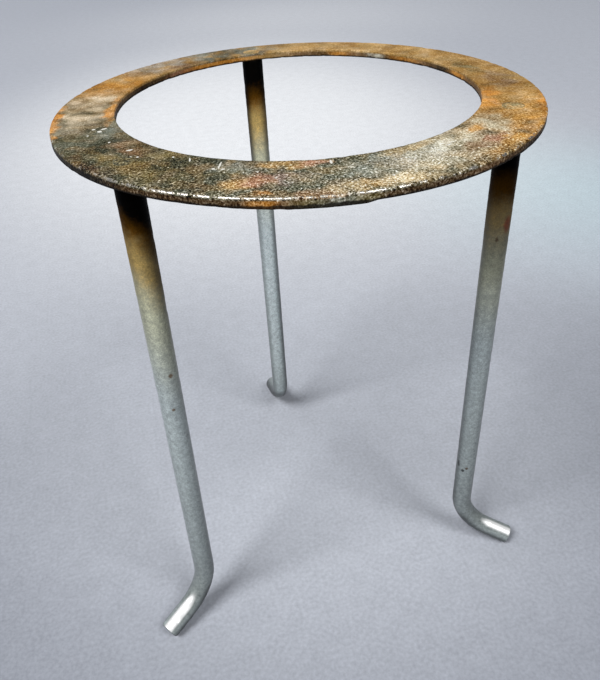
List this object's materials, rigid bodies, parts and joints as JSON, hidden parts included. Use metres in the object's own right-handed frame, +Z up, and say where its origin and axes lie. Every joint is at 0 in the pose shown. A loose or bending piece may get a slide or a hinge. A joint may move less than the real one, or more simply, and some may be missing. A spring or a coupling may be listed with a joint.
{
  "type": "lab tripod stand",
  "caption": "Rusted flat steel ring riveted onto bent round-rod legs with out-turned feet; holds a gauze, dish or flask above a burner on a bench.",
  "frame": {"origin": "on the bench, under the centre of the ring's outer edge, at the level of the feet's lowest edges", "axes": "+Z up, +Y from the ring's centre towards the rear leg, +X to the right seen from the open front"},
  "size_m": [0.158, 0.1665, 0.1945],
  "materials": {
    "ring_steel": "rusted and stained, worn plating",
    "leg_steel": "satin, zinc plated, sooty near the ring"
  },
  "bodies": {
    "root": {"ring": "ring_steel", "leg_rear": "leg_steel", "leg_left": "leg_steel", "leg_right": "leg_steel"}
  },
  "joints": []
}
